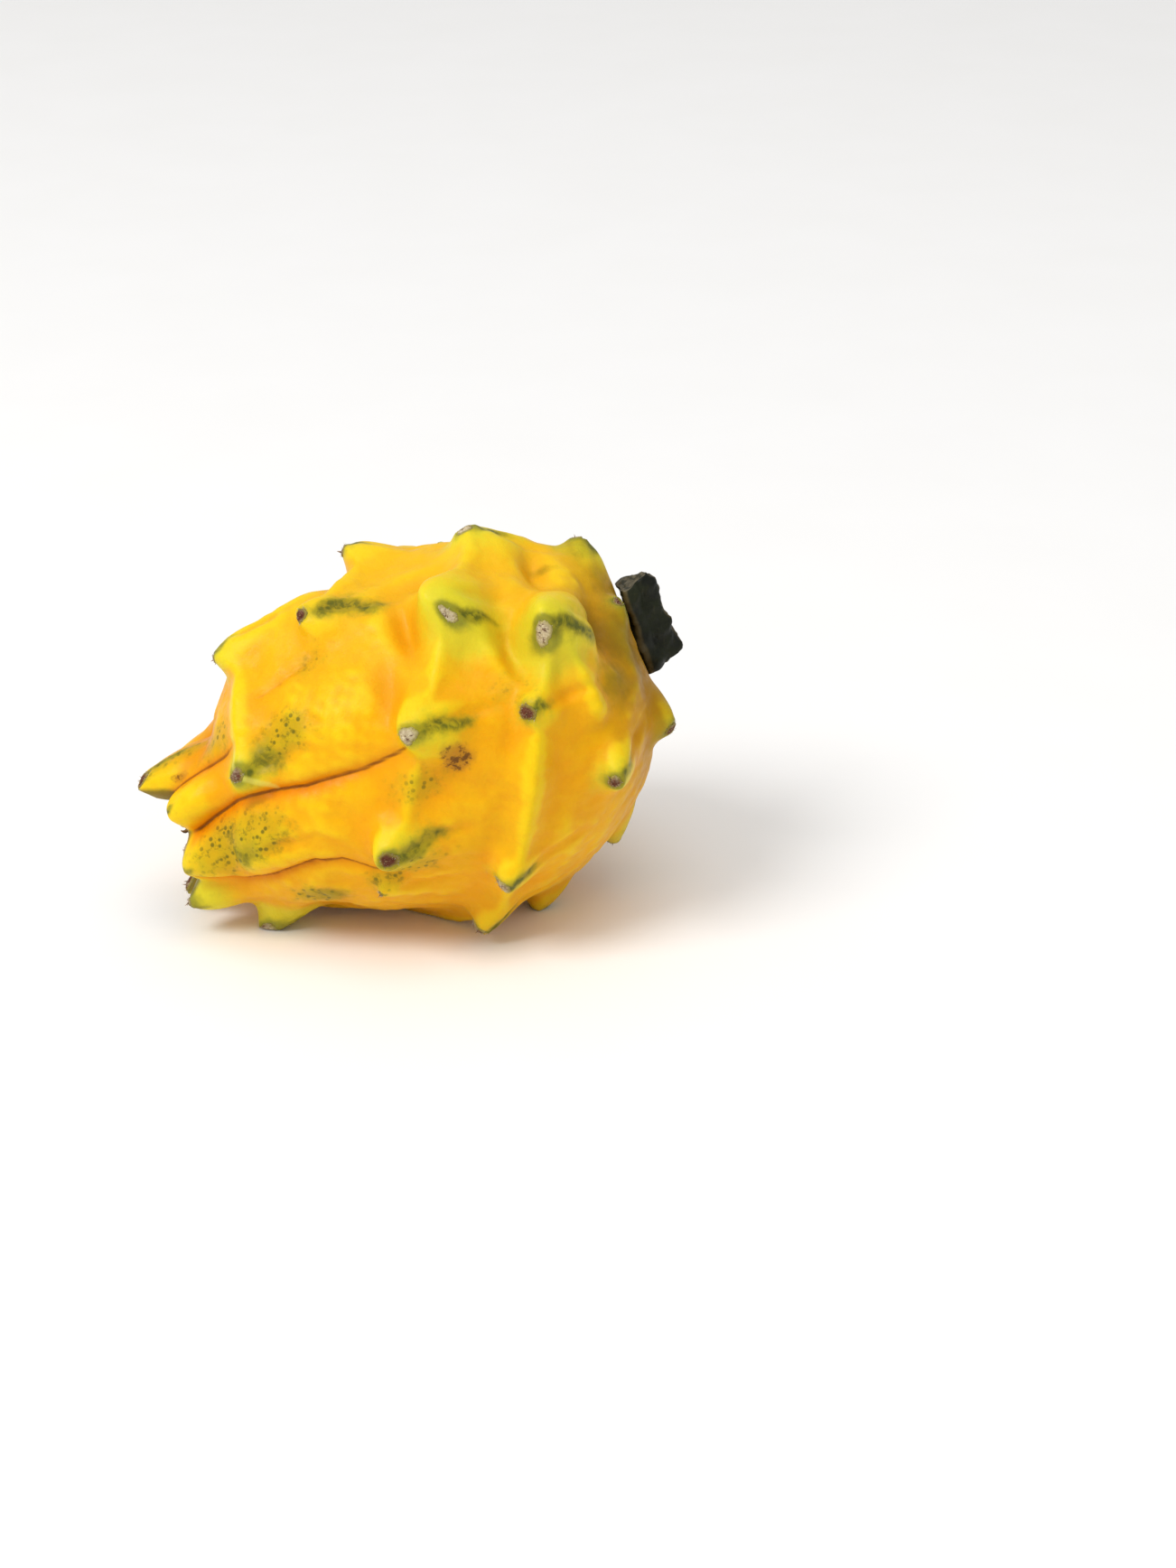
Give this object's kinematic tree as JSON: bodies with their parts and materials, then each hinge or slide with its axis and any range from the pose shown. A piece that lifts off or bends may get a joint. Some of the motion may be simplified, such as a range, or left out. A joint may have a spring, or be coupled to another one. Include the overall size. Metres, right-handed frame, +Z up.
{
  "type": "yellow dragon fruit",
  "caption": "Whole yellow dragon fruit lying on its side: egg-shaped peel with leaning knobbed tubercles, a dried flower scar in the blossom hollow and a cut piece of stem.",
  "frame": {"origin": "middle of the bounding box at the level of the table", "axes": "+Z up, the fruit's long axis along X with the stem end at +X and raised, and the blossom end at -X"},
  "size_m": [0.1186, 0.0854, 0.085],
  "materials": {
    "peel": "waxy satin yellow peel with green streaks behind the areoles",
    "stem": "dull dark green cut cactus stem",
    "scar": "dry brown torn fibres"
  },
  "bodies": {
    "root": {"fruit_body": "peel", "stem_stub": "stem", "flower_scar": "scar"}
  },
  "joints": []
}
